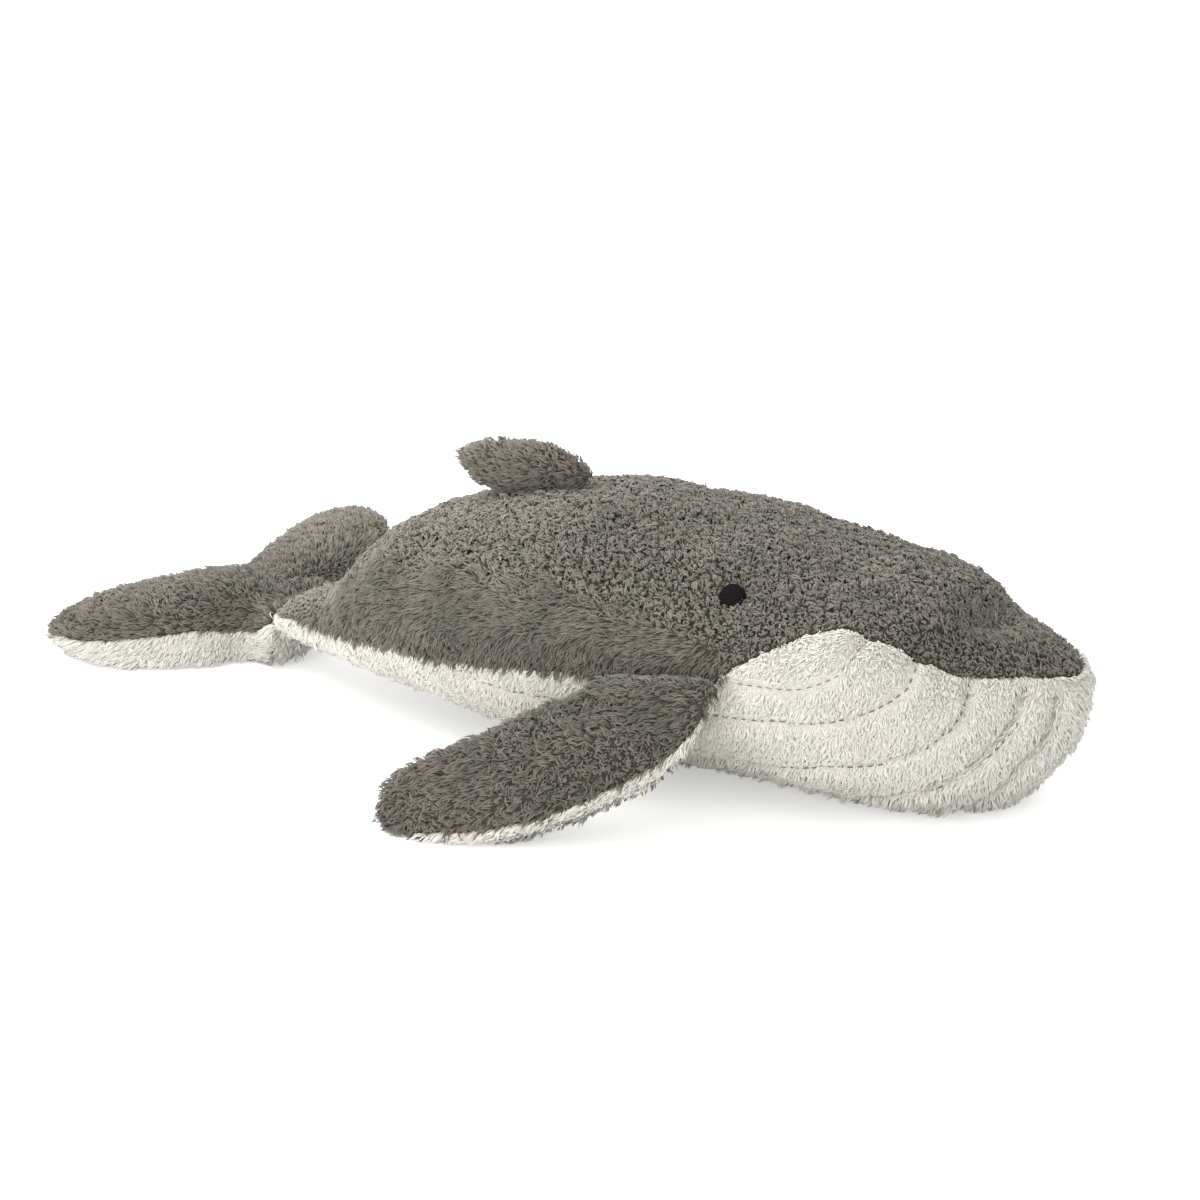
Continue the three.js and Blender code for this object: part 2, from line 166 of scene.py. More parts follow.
floor_paint = bpy.data.materials.new("pale_floor")
floor_paint.use_nodes = True
tree = floor_paint.node_tree
tree.nodes.clear()
place = joined(tree, "ShaderNodeTexCoord")
reach = joined(tree, "ShaderNodeVectorMath", place.outputs["Object"], operation="LENGTH")
glow = joined(tree, "ShaderNodeMapRange", reach.outputs["Value"], 0.2, 0.6, 0.44, 0.5)
glow_seen = worked_out(tree, "MULTIPLY", glow.outputs[0], seen_directly(tree))
matt = joined(tree, "ShaderNodeBsdfDiffuse", (0.93, 0.93, 0.93, 1))
shine = joined(tree, "ShaderNodeEmission", (1, 1, 1, 1), glow_seen)
both = joined(tree, "ShaderNodeAddShader", matt.outputs[0], shine.outputs[0])
joined(tree, "ShaderNodeOutputMaterial", both.outputs[0])
floor_mesh.materials.append(floor_paint)
print("floor:", [round(v, 1) for v in floor.dimensions], "m")

# %% [markdown]
# A stuffed form starts as a copy of its solids. They are closed into one skin by a voxel remesh,
# drawn in by a few millimetres, and later blown up by a cloth simulation with pressure inside.

# %% From solids to one skin
def piece_from(name, shape):
    """A new smooth object at the origin with that bmesh as its mesh."""
    for face in shape.faces:
        face.smooth = True
    mesh = bpy.data.meshes.new(name)
    shape.to_mesh(mesh)
    shape.free()
    piece = bpy.data.objects.new(name, mesh)
    bpy.context.scene.collection.objects.link(piece)
    return piece


def cleared(piece):
    """Takes an object off the bench together with its mesh."""
    mesh = piece.data
    bpy.data.objects.remove(piece)
    bpy.data.meshes.remove(mesh)


def remodelled(shape, kind, **settings):
    """The bmesh after one modifier of that kind."""
    piece = piece_from("on_the_bench", shape)
    modifier = piece.modifiers.new(kind.lower(), kind)
    for name, value in settings.items():
        setattr(modifier, name, value)
    graph = bpy.context.evaluated_depsgraph_get()
    made = bpy.data.meshes.new_from_object(piece.evaluated_get(graph))
    shape = bmesh.new()
    shape.from_mesh(made)
    cleared(piece)
    bpy.data.meshes.remove(made)
    return shape


def largest_part(shape):
    """Keeps the largest of the separate shells in a bmesh."""
    left = set(shape.verts)
    parts = []
    while left:
        part = {left.pop()}
        edge_of_part = list(part)
        while edge_of_part:
            found = [edge.other_vert(vert) for vert in edge_of_part for edge in vert.link_edges]
            edge_of_part = [vert for vert in set(found) if vert in left]
            left.difference_update(edge_of_part)
            part.update(edge_of_part)
        parts.append(part)
    parts.sort(key=len)
    for part in parts[:-1]:
        bmesh.ops.delete(shape, geom=list(part), context="VERTS")
    return shape


def one_skin(names, voxel, smoothing):
    """One closed skin round the named solids, of even square faces."""
    shape = bmesh.new()
    for name in names:
        shape.from_mesh(nodes[name].data)
    bmesh.ops.remove_doubles(shape, verts=shape.verts, dist=1e-6)
    shape = largest_part(remodelled(shape, "REMESH", mode="VOXEL", voxel_size=voxel))
    for _ in range(smoothing):
        bmesh.ops.smooth_vert(shape, verts=shape.verts, factor=0.5, use_axis_x=True, use_axis_y=True,
                              use_axis_z=True)
    shape.normal_update()
    return shape


def corners(shape):
    """The corners and their normals as two arrays."""
    return (np.array([vert.co for vert in shape.verts]), np.array([vert.normal for vert in shape.verts]))


def put_corners(shape, places):
    for vert, co in zip(shape.verts, places):
        vert.co = co
    shape.normal_update()


def eased(value, low, high):
    """0 below low, 1 above high and a smooth step between. Low may be the larger one."""
    share = np.clip((value - low) / (high - low), 0, 1)
    return share * share * (3 - 2 * share)


def falls_off(distance, width):
    """1 at no distance, and less and less beyond that width."""
    return np.exp(-(distance / width) ** 2)


body_solids = ["back_left", "back_right", "belly_panel", "body_filling"]
body_skin = one_skin(body_solids, 5 * MM, 3)
print("body skin:", len(body_skin.verts), "corners")

# %% [markdown]
# Real fabric swells between the places where it is held. The simulation holds the skin where a limb is
# sewn on and where it lies on the floor, and lets the rest swell by a few millimetres.

# %% Swelling
def waves(places, scale, turn):
    """A smooth uneven value from -1 to 1 that changes over about one length of that scale."""
    x, y, z = (places / scale).T
    return (np.sin(x + 1.7 * np.sin(0.8 * z + turn) + turn)
            * np.cos(0.9 * y + 1.3 * z + 1.4 * np.sin(0.7 * x - turn)))


def nearness(places, names):
    """The distance of every place to the named solids, in metres."""
    solid = bmesh.new()
    for name in names:
        solid.from_mesh(nodes[name].data)
    tree = BVHTree.FromBMesh(solid)
    solid.free()
    return np.array([tree.find_nearest(Vector(place))[3] for place in places])


def swollen(shape, held, cap, pressure=4.0, frames=20):
    """The skin after stuffing: held is 1 where a corner stays, and cap is how far another may move."""
    start, _ = corners(shape)
    piece = piece_from("in_the_press", shape)
    group = piece.vertex_groups.new(name="held")
    for index, share in enumerate(held):
        if share > 0:
            group.add([index], float(share), "REPLACE")
    cloth = piece.modifiers.new("cloth", "CLOTH")
    cloth.settings.quality = 6
    cloth.settings.use_pressure = True
    cloth.settings.uniform_pressure_force = pressure
    cloth.settings.effector_weights.gravity = 0
    cloth.settings.vertex_group_mass = "held"
    cloth.settings.tension_stiffness = 12
    cloth.settings.compression_stiffness = 12
    cloth.settings.bending_stiffness = 0.4
    scene = bpy.context.scene
    for number in range(1, frames + 1):
        scene.frame_set(number)
    graph = bpy.context.evaluated_depsgraph_get()
    made = piece.evaluated_get(graph).to_mesh()
    moved = np.array([vert.co for vert in made.vertices]) - start
    scene.frame_set(1)
    size = np.maximum(np.linalg.norm(moved, axis=1, keepdims=True), 1e-9)
    moved *= np.minimum(1, cap * np.tanh(size / cap) / size)
    shape = bmesh.new()
    piece.modifiers.clear()
    shape.from_mesh(piece.data)
    cleared(piece)
    shape.verts.ensure_lookup_table()
    put_corners(shape, start + moved)
    print("  swelled by", round(1000 * float(np.linalg.norm(moved, axis=1).mean()), 2), "mm on average")
    return shape


limb_solids = {
    "flipper_right": ["flipper_right_top", "flipper_right_underside", "flipper_right_filling"],
    "flipper_left": ["flipper_left_top", "flipper_left_underside", "flipper_left_filling"],
    "flukes": ["fluke_top", "fluke_underside", "fluke_filling"],
    "dorsal_fin": ["fin_right_panel", "fin_left_panel", "fin_filling"],
}
all_limb_solids = [name for names in limb_solids.values() for name in names]


def drawn_in(shape, depth):
    """Every corner moved inwards by its own depth."""
    places, normals = corners(shape)
    put_corners(shape, places - normals * np.asarray(depth).reshape(-1, 1))
    return shape


places, _ = corners(body_skin)
on_floor = eased(places[:, 2], 5 * MM, 1 * MM)
near_limb = eased(nearness(places, all_limb_solids), 12 * MM, 4 * MM)
_, normals = corners(body_skin)
below = eased(normals[:, 2], 0.1, -0.5)
body_skin = drawn_in(body_skin, (3.4 - 1.2 * below) * MM * (1 - on_floor) + 1.6 * MM * on_floor)
body_skin = swollen(body_skin, np.maximum(on_floor, near_limb), 2.5 * MM)
body_skin = remodelled(body_skin, "SUBSURF", levels=1, render_levels=1)
body_skin.normal_update()
print("body skin:", len(body_skin.verts), "corners after one subdivision")

# %% [markdown]
# Each eye sits in a small dimple, because its stitches pull the fabric in.
# Five lines of grey thread run along each side of the throat. They are given as a place along the whale
# and an angle round its middle, and are cast outwards onto the skin. They pull in channels too. Stuffing
# is never quite even, so a few soft folds, spots and low waves are pressed in the same way.

# %% Dimples and channels
eye_places = {}
for side, name in ((-1, "eye_right"), (1, "eye_left")):
    low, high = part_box(name)
    eye_places[side] = (low + high) / 2 + Vector((-2.5 * MM, -side * 2.0 * MM, (2.5 - 1.5 * side) * MM))

throat_lines = [
    [(212, 29), (206, 14), (190, 7), (171, 6), (153, 6)],
    [(233, 24), (234, 10), (221, 0), (204, -4), (181, -5), (144, -6), (100, -9), (60, -11), (23, -13),
     (-1, -12), (-25, -9)],
    [(260, 17), (259, -4), (246, -18), (224, -23), (195, -24), (159, -31), (100, -36), (40, -38),
     (-20, -30), (-50, -22)],
    [(282, 14), (278, -16), (266, -33), (247, -41), (227, -44), (180, -50), (120, -55), (60, -56),
     (0, -50), (-60, -35)],
    [(293, 5), (291, -38), (280, -53), (266, -60), (240, -68), (180, -72), (100, -74), (20, -72),
     (-50, -60)],
]
middle_height = 65 * MM


def rounded_line(points, steps):
    """A smooth line through the points, with that many steps between two of them."""
    spread = np.array([points[0], *points, points[-1]], float)
    line = []
    for i in range(1, len(spread) - 2):
        a, b, c, d = spread[i - 1:i + 3]
        for share in np.arange(steps) / steps:
            line.append(0.5 * (2 * b + (c - a) * share + (2 * a - 5 * b + 4 * c - d) * share ** 2
                               + (3 * b - 3 * c + d - a) * share ** 3))
    return np.array([*line, points[-1]])


def cast_line(skin_tree, points, side):
    """The line's points on the skin, and the skin's normals there."""
    found = []
    for along, angle in rounded_line(points, 24):
        angle = math.radians(angle)
        outwards = Vector((0, side * math.cos(angle), math.sin(angle)))
        centre = Vector((along * MM, 0, middle_height))
        place, normal, _, _ = skin_tree.ray_cast(centre, outwards)
        if place is not None:
            found.append((place, normal))
    return found


skin_tree = BVHTree.FromBMesh(body_skin)
cast_lines = [cast_line(skin_tree, points, side) for side in (-1, 1) for points in throat_lines]
# The depth and width of each line's channel, of each fold and of each spot, in millimetres.
channel_sizes = [(1.6, 3.2), (2.4, 3.4), (3.4, 3.6), (6.6, 3.8), (6.8, 3.8)]
fold_lines = [
    ([(66, 62), (74, 47), (86, 25), (94, 8)], 1.8, 8),
    ([(-82, 30), (-90, 3), (-90, -11)], 1.8, 7),
    ([(112, 82), (92, 70), (73, 61), (60, 50)], 1.6, 6),
    ([(-8, 46), (2, 32), (6, 10)], 1.2, 9),
    ([(252, 66), (253, 78), (253, 90)], 3.0, 10),
]
fold_spots = [((202, 42, 107), 2.6, 9), ((228, 12, 105), -1.6, 14), ((-30, 58, 100), -1.2, 22),
              ((52, 78, 108), -1.4, 20), ((112, 84, 95), -1.2, 14)]


def nearest_on(lines):
    """A function that gives for each of many places the nearest point of the lines."""
    points = [place for line in lines for place, _ in line]
    near = KDTree(len(points))
    for index, place in enumerate(points):
        near.insert(place, index)
    near.balance()
    return lambda places: np.array([near.find(Vector(place))[0] for place in places])


def line_nearness(lines):
    """A function that gives the distance of places to the nearest point of the lines."""
    nearest = nearest_on(lines)
    return lambda places: np.linalg.norm(places - nearest(places), axis=1)



# Where along the whale a plump stretch of its top rises, is full, lessens and ends, and its height.
plump_tops = [((-114, -88, -70, -36), 5.5), ((180, 206, 230, 249), 4.5)]
skin_floor = 1.0 * MM
from_lines = line_nearness(cast_lines)
places, normals = corners(body_skin)
pressed = np.zeros(len(places))
for number, line in enumerate(cast_lines):
    depth, width = channel_sizes[number % len(channel_sizes)]
    pressed = np.maximum(pressed, depth * MM * falls_off(line_nearness([line])(places), width * MM))
for points, depth, width in fold_lines:
    for side in (-1, 1):
        apart = line_nearness([cast_line(skin_tree, points, side)])(places)
        pressed += depth * MM * falls_off(apart, width * MM)
for (along, across, above), depth, width in fold_spots:
    for side in (-1, 1):
        apart = np.linalg.norm(places - np.array((along, side * across, above)) * MM, axis=1)
        pressed += depth * MM * falls_off(apart, width * MM)
for centre in eye_places.values():
    apart = np.linalg.norm(places - np.array(centre), axis=1)
    pressed += 2.4 * MM * falls_off(apart, 11 * MM)
pressed += 0.8 * MM * waves(places, 17 * MM, 1.9) * eased(places[:, 2], 6 * MM, 30 * MM)
# The tail stock and the plump tops stand out, and so does the nose.
pressed -= 4.5 * MM * eased(places[:, 0], -110 * MM, -160 * MM) * eased(normals[:, 2], -0.1, 0.5)
for (rises, full, lessens, ends), height in plump_tops:
    fullness = eased(places[:, 0] / MM, rises, full) * eased(places[:, 0] / MM, ends, lessens)
    pressed -= height * MM * fullness * eased(normals[:, 2], 0.1, 0.7)
body_skin = drawn_in(body_skin, pressed)
places, _ = corners(body_skin)
places[:, 0] += 3.5 * MM * eased(places[:, 0], 272 * MM, 298 * MM) * eased(places[:, 2], 20 * MM, 45 * MM)
places[:, 2] = np.maximum(places[:, 2], skin_floor)
put_corners(body_skin, places)
print("throat lines:", len(cast_lines), "deepest channel", round(1000 * float(pressed.max()), 1), "mm")

# %% [markdown]
# The limbs are stuffed forms too. Each is remeshed, drawn in and swollen by itself, and its root is
# then laid against the body's skin, where it is sewn on.

# %% Limb forms
body_tree = BVHTree.FromBMesh(body_skin)


def seam_side(shape, first, second):
    """How far each corner lies from the seam between two groups of solids, below 0 on the first's side."""
    places, normals = corners(shape)
    outside = places + normals * 6 * MM
    apart = nearness(outside, first) ** 2 - nearness(outside, second) ** 2
    return np.sign(apart) * np.sqrt(np.abs(apart))


def settled_flukes(places, normals):
    """The flukes lie on the floor: the underside of the near lobe sags to it, and the notch is narrow."""
    x, y, z = (places / MM).T
    lower = eased(normals[:, 2], 0.7, -0.4)
    sag = 0.9 * eased(x, -302, -240) * eased(y, 75, 10) * lower
    moved = places.copy()
    moved[:, 2] = (1 + (z - 1) * (1 - sag)) * MM
    moved[:, 1] -= (8 * MM * eased(y, 30, -10) * eased(x, -300, -240) * eased(x, -178, -205)
                    * eased(normals[:, 2], 0.5, -0.6))
    moved[:, 0] += 6 * MM * eased(y, 35, 65) * eased(y, 150, 120) * eased(x, -212, -240)
    moved[:, 0] -= 4 * MM * eased(x, -262, -296)
    return moved


def settled_flipper(places, normals):
    """A flipper's root spreads forwards over the flank, its underside hangs and its tip is blunt."""
    x, y, z = (np.abs(places) / MM).T
    by_root = eased(y, 132, 106) * eased(x, 85, 140)
    by_tip = eased(x, 75, 15)
    lower = eased(normals[:, 2], 0.15, -0.7)
    side = np.sign(places[:, 1])
    moved = places.copy()
    outer = eased(y, 104, 128)
    leading = eased(normals[:, 0] * 0.6 + normals[:, 1] * side * 0.8, 0, 0.6) * eased(y, 108, 122)
    forwards, down = leading * eased(y, 175, 130), leading * eased(y, 146, 126)
    blunt = eased(x, 42, 8) * eased(y, 180, 164)
    moved[:, 0] += (10 * by_root + 5 * forwards - 9 * blunt) * MM
    moved[:, 1] += side * (3 * by_root + 4 * lower * outer) * MM
    moved[:, 2] += (8 * by_root - 1.5 * by_tip - 6 * lower * outer - 4 * down) * MM
    return moved


settled = {"flukes": settled_flukes, "flipper_right": settled_flipper, "flipper_left": settled_flipper}


def fluke_seam(places, normals):
    """How far the cream reaches over the leading edge of the near lobe, in mm."""
    x, y, _ = (places / MM).T
    reach = np.interp(x, (-302, -285, -250, -212, -192, -176, -162), (0, 3, 7, 7, 5.5, 6.5, 3))
    near = np.where(x < -200, eased(y, 60, 20), eased(y, 24, 2))
    return reach * near * eased(normals @ (0.5, -0.86, 0), -0.5, 0.1)


def flipper_seam(places, normals):
    """The same for a flipper, whose leading edge looks forwards and away from the whale."""
    leading = normals[:, 0] * 0.6 + normals[:, 1] * np.sign(places[:, 1]) * 0.8
    reach = np.interp(places[:, 0] / MM, (4, 26, 40, 90), (-1, 5, 6.5, 2))
    root = eased(np.abs(places[:, 1]), 122 * MM, 108 * MM)
    return reach * eased(leading, -0.4, 0.2) * (1 - root) - 3 * root


seam_shifts = {"flukes": fluke_seam, "flipper_right": flipper_seam, "flipper_left": flipper_seam,
               "dorsal_fin": lambda places, normals: 0}


# A sewn corner lies this far above the body's skin, and a free one near it at least this far.
sewn_gap, free_gap, touch_reach = 0.7 * MM, 0.4 * MM, 12 * MM


def limb_skin(limb, voxel, depth, cap):
    """A limb's stuffed skin, with its root close to the body's, and its corners' side of the seam."""
    names = limb_solids[limb]
    shape = one_skin(names, voxel, 2)
    places, _ = corners(shape)
    root = eased(nearness(places, body_solids), 9 * MM, 2 * MM)
    shape = drawn_in(shape, depth * (1 - root))
    shape = swollen(shape, root, cap, pressure=3.0)
    shape = remodelled(shape, "SUBSURF", levels=1, render_levels=1)
    shape.normal_update()
    side = seam_side(shape, names[:1], names[1:2]) + seam_shifts[limb](*corners(shape)) * MM
    places, normals = corners(shape)
    sewn = eased(nearness(places, body_solids), 3 * MM, 0.8 * MM)
    if limb in settled:
        places = settled[limb](places, normals)
    for index, place in enumerate(places):
        near, normal, _, apart = body_tree.find_nearest(Vector(place))
        above = (Vector(place) - near).dot(normal)
        share = float(sewn[index])
        if apart < touch_reach:
            if share > 0:
                places[index] = Vector(place).lerp(near + normal * sewn_gap, share)
            if above < free_gap and share == 0:
                places[index] = near + normal * free_gap
    places[:, 2] = np.maximum(places[:, 2], skin_floor)
    put_corners(shape, places)
    return shape, side


limb_skins, limb_sides = {}, {}
for limb in limb_solids:
    voxel, depth = (3 * MM, 2.0 * MM) if limb == "dorsal_fin" else (4 * MM, 1.2 * MM)
    limb_skins[limb], limb_sides[limb] = limb_skin(limb, voxel, depth, 1.6 * MM)
    print(limb, len(limb_skins[limb].verts), "corners")

# %% [markdown]
# A sewn toy is made of panels. The one skin is cut where the solids' seams run. How far a corner lies
# from a seam follows from its distances to the solids on both sides, measured from a little above the
# skin. An edge whose ends lie on different sides is split where that value is zero.

# %% Cutting into panels
def cut_between(shape, side):
    """Cuts the skin where side is zero. side holds one value for each corner, below 0 in the first panel.
    Returns a function that tells whether a face belongs to the first panel."""
    bmesh.ops.triangulate(shape, faces=shape.faces)
    value = dict(zip(shape.verts, side))
    fresh = []
    for edge in list(shape.edges):
        a, b = edge.verts
        if value[a] * value[b] < 0:
            share = min(0.9, max(0.1, value[a] / (value[a] - value[b])))
            _, new = bmesh.utils.edge_split(edge, a, share)
            value[new] = 0.0
            fresh.append(new)
    bmesh.ops.connect_verts(shape, verts=fresh)
    bmesh.ops.triangulate(shape, faces=[face for face in shape.faces if len(face.verts) > 3])
    shape.normal_update()
    return lambda face: sum(value[vert] for vert in face.verts) < 0


def seam_moved(places):
    """How far the belly's seam lies below the solids' seam at each place, in metres."""
    low = np.interp(1000 * places[:, 0], [row[0] for row in belly_seam], [row[1] for row in belly_seam])
    return (low + 1.5 * falls_off(from_lines(places), 4 * MM)) * MM


def panel_of(shape, chosen):
    """A copy of the skin with only the chosen faces."""
    shape.faces.index_update()
    kept = {face.index for face in shape.faces if chosen(face)}
    panel = shape.copy()
    panel.faces.ensure_lookup_table()
    bmesh.ops.delete(panel, geom=[face for face in panel.faces if face.index not in kept], context="FACES")
    panel.normal_update()
    return panel


# At each place along the whale, how many millimetres the cream edge lies below the solids' seam.
belly_seam = [(-160, 1.2), (-147, 1.2), (-126, 3.5), (-108, 4), (-83, 2.4), (-39, 2), (-23, 2.7), (-1, 1.8),
              (22, -1.8), (47, -3.2), (61, -6), (80, -5.5), (95, 3), (135, 3), (146, -3), (152, -6.5),
              (165, -5.3), (176, -3.5), (195, -1.8), (206, -3), (220, -3.4), (233, -1.8), (239, 0),
              (244, -0.8), (255, 2.6), (268, 2.6), (279, 1), (292, 3), (300, 8)]
panels = {}
places, _ = corners(body_skin)
in_belly = cut_between(body_skin, seam_side(body_skin, ["belly_panel"], ["back_left", "back_right"])
                       + seam_moved(places))
panels["belly_panel"] = panel_of(body_skin, in_belly)
backs = panel_of(body_skin, lambda face: not in_belly(face))
cut_tree = BVHTree.FromBMesh(body_skin)
in_right = cut_between(backs, seam_side(backs, ["back_right"], ["back_left"]))
panels["back_right"] = panel_of(backs, in_right)
panels["back_left"] = panel_of(backs, lambda face: not in_right(face))
for limb, (first, second, _) in limb_solids.items():
    in_first = cut_between(limb_skins[limb], limb_sides[limb])
    panels[first] = panel_of(limb_skins[limb], in_first)
    panels[second] = panel_of(limb_skins[limb], lambda face: not in_first(face))
for name, panel in panels.items():
    area = sum(face.calc_area() for face in panel.faces)
    print(name, len(panel.faces), "faces,", round(1e4 * area), "cm2")

# %% [markdown]
# The pile is dark at the roots and pale at the tips. The dark roots are painted shade between the locks.
# One shader group makes that tone for every pile. It reads how far along a lock a point is, a random
# number for the lock, and one for its tuft with the painted light and shade of its place added, such as
# the painted shade in the deepest partings. The pile's mesh carries them as attributes.

# %% Colour of pile
def colour(red, green, blue):
    """A colour given as it is seen on a screen, from 0 to 255, as the shader takes it."""
    return (*(((c / 255 + 0.055) / 1.055) ** 2.4 if c > 10 else c / 3294.6 for c in (red, green, blue)), 1)


def group_with(name, wants, gives):
    group = bpy.data.node_groups.new(name, "ShaderNodeTree")
    for socket, kind in wants:
        group.interface.new_socket(socket, in_out="INPUT", socket_type=kind)
    for socket, kind in gives:
        group.interface.new_socket(socket, in_out="OUTPUT", socket_type=kind)
    return group, group.nodes.new("NodeGroupInput"), group.nodes.new("NodeGroupOutput")


pile_tone, wants, gives = group_with(
    "pile_tone",
    [("Root", "NodeSocketColor"), ("Tip", "NodeSocketColor"), ("Spread", "NodeSocketFloat"),
     ("Patches", "NodeSocketFloat")],
    [("Color", "NodeSocketColor"), ("Roughness", "NodeSocketFloat")])
along = joined(pile_tone, "ShaderNodeAttribute", attribute_name="tip")
lock = joined(pile_tone, "ShaderNodeAttribute", attribute_name="lock")
tuft = joined(pile_tone, "ShaderNodeAttribute", attribute_name="tuft")
rise = worked_out(pile_tone, "POWER", along.outputs["Fac"], 0.7)
tone = joined(pile_tone, "ShaderNodeMix", rise, *[None] * 5, wants.outputs["Root"], wants.outputs["Tip"],
              data_type="RGBA")
place = joined(pile_tone, "ShaderNodeTexCoord")
clouds = joined(pile_tone, "ShaderNodeTexNoise", place.outputs["Object"], None, 30, 3)
dye = joined(pile_tone, "ShaderNodeVectorMath", clouds.outputs["Color"], (0.08, 0.08, 0.08),
             (0.96, 0.96, 0.96), operation="MULTIPLY_ADD")
of_lock = joined(pile_tone, "ShaderNodeMapRange", lock.outputs["Fac"], 0, 1, -0.6, 0.6)
# The tuft attribute holds the tuft's random tone plus the painted light and shade of its place.
of_tuft_and_painted_light = joined(pile_tone, "ShaderNodeMapRange", tuft.outputs["Fac"], 0, 1, -0.4, 0.4, clamp=False)
both = worked_out(pile_tone, "ADD", of_lock.outputs[0], of_tuft_and_painted_light.outputs[0])
uneven_and_painted_light = worked_out(pile_tone, "MULTIPLY", both, wants.outputs["Spread"])
cloudy = joined(pile_tone, "ShaderNodeMapRange", clouds.outputs["Fac"], 0.3, 0.7, -1, 1)
patch = worked_out(pile_tone, "MULTIPLY", cloudy.outputs[0], wants.outputs["Patches"])
level = worked_out(pile_tone, "ADD", worked_out(pile_tone, "ADD", uneven_and_painted_light, patch), 1.0)
lit = joined(pile_tone, "ShaderNodeVectorMath", tone.outputs[2], None, None, level, operation="SCALE")
dyed = joined(pile_tone, "ShaderNodeVectorMath", lit.outputs[0], dye.outputs[0], operation="MULTIPLY")
pile_tone.links.new(dyed.outputs[0], gives.inputs["Color"])
rough = joined(pile_tone, "ShaderNodeMapRange", lock.outputs["Fac"], 0, 1, 0.8, 1.0)
pile_tone.links.new(rough.outputs[0], gives.inputs["Roughness"])


def soft_material(name, group, values, shine, rough=1.0, sheen=0.0, bump=0.0):
    """A matt material with the colour that the group makes of those values, and with the roughness that
    the group gives or the bumps that are asked for."""
    material = bpy.data.materials.new(name)
    material.use_nodes = True
    tree = material.node_tree
    shader = tree.nodes["Principled BSDF"]
    for socket, value in (("Specular IOR Level", shine), ("Roughness", rough), ("Sheen Weight", sheen)):
        shader.inputs[socket].default_value = value
    tones = joined(tree, "ShaderNodeGroup", *values, node_tree=group)
    tree.links.new(tones.outputs["Color"], shader.inputs["Base Color"])
    if "Roughness" in tones.outputs:
        tree.links.new(tones.outputs["Roughness"], shader.inputs["Roughness"])
    if bump:
        raised = joined(tree, "ShaderNodeBump")
        raised.inputs["Strength"].default_value = bump
        raised.inputs["Distance"].default_value = 0.0004
        tree.links.new(tones.outputs["Height"], raised.inputs["Height"])
        tree.links.new(raised.outputs[0], shader.inputs["Normal"])
    return material


# A pile's values are its root and tip colours, and how uneven its locks and its patches are.
# The dark root colours are painted shade between the locks; the spread also scales the tufts' painted light.
grey_tones = (colour(56, 51, 45), colour(146, 139, 128), 0.32, 0.12)
cream_tones = (colour(238, 232, 218), colour(251, 249, 240), 0.07, 0.02)
paints = {"grey_pile": soft_material("grey_pile", pile_tone, grey_tones, 0.12, sheen=0.3),
          "cream_pile": soft_material("cream_pile", pile_tone, cream_tones, 0.12, sheen=0.15)}
print("pile materials:", sorted(paints))

# %% [markdown]
# One lock of pile is a thin cone with three sides, cut once across its middle so that it can bend.
# The same small mesh is laid many thousand times, so it has only nine faces.

# %% One lock
lock_shape = bmesh.new()
bmesh.ops.create_cone(lock_shape, segments=3, radius1=1, radius2=0, depth=1, cap_ends=False,
                      matrix=Matrix.Translation((0, 0, 0.5)))
bmesh.ops.remove_doubles(lock_shape, verts=lock_shape.verts, dist=1e-4)
bmesh.ops.bisect_plane(lock_shape, geom=lock_shape.verts[:] + lock_shape.edges[:] + lock_shape.faces[:],
                       plane_co=(0, 0, 0.5), plane_no=(0, 0, 1))
bmesh.ops.triangulate(lock_shape, faces=lock_shape.faces)
bmesh.ops.recalc_face_normals(lock_shape, faces=lock_shape.faces)
lock_shape.verts.index_update()
lock_corners = np.array([vert.co for vert in lock_shape.verts])
lock_level = np.rint(lock_corners[:, 2] * 2).astype(int)
lock_turn = np.arctan2(lock_corners[:, 1], lock_corners[:, 0])
lock_faces = np.array([[vert.index for vert in face.verts] for face in lock_shape.faces])
lock_shape.free()
print("one lock:", len(lock_corners), "corners,", len(lock_faces), "faces, sides at",
      sorted(set(int(round(math.degrees(turn))) for turn in lock_turn[lock_level == 0])))

# %% [markdown]
# Where each lock stands, how long it is, how steeply it rises and which way it is combed comes from
# arrays with one row for each lock, which is far quicker than a loop. Tufts form because locks lean
# towards the middle one of their group, as the tips of real pile do when they curl together.

# %% Laying pile
def unit(vectors):
    return vectors / np.maximum(np.linalg.norm(vectors, axis=1, keepdims=True), 1e-12)


def flat_on(vectors, normals):
    """The vectors' directions along a surface with those normals."""
    return unit(vectors - normals * np.sum(vectors * normals, axis=1, keepdims=True))


def column(values):
    return np.asarray(values)[:, None]


def sites_on(panel, area, rng):
    """Root places spread over a panel, one for each bit of that area, with the skin's normals."""
    panel.verts.index_update()
    places, normals = corners(panel)
    faces = np.array([[vert.index for vert in face.verts] for face in panel.faces])
    a, b, c = places[faces[:, 0]], places[faces[:, 1]], places[faces[:, 2]]
    share = np.cumsum(np.linalg.norm(np.cross(b - a, c - a), axis=1) / 2) / area + rng.random()
    counts = np.diff(np.floor(np.concatenate([[0], share]))).astype(int)
    face = np.repeat(np.arange(len(faces)), counts)
    u, v = rng.random((2, len(face)))
    fold = u + v > 1
    u[fold], v[fold] = 1 - u[fold], 1 - v[fold]
    weights = np.stack([1 - u - v, u, v], axis=1)[:, :, None]
    return ((places[faces[face]] * weights).sum(axis=1), unit((normals[faces[face]] * weights).sum(axis=1)))


tuft_size = 6
wisp_share = 0.06
root_depth = 0.4 * MM
# Above the floor at least this high: the middle line of a lock, and its sides.
line_floor, side_floor = 0.5 * MM, 0.4 * MM


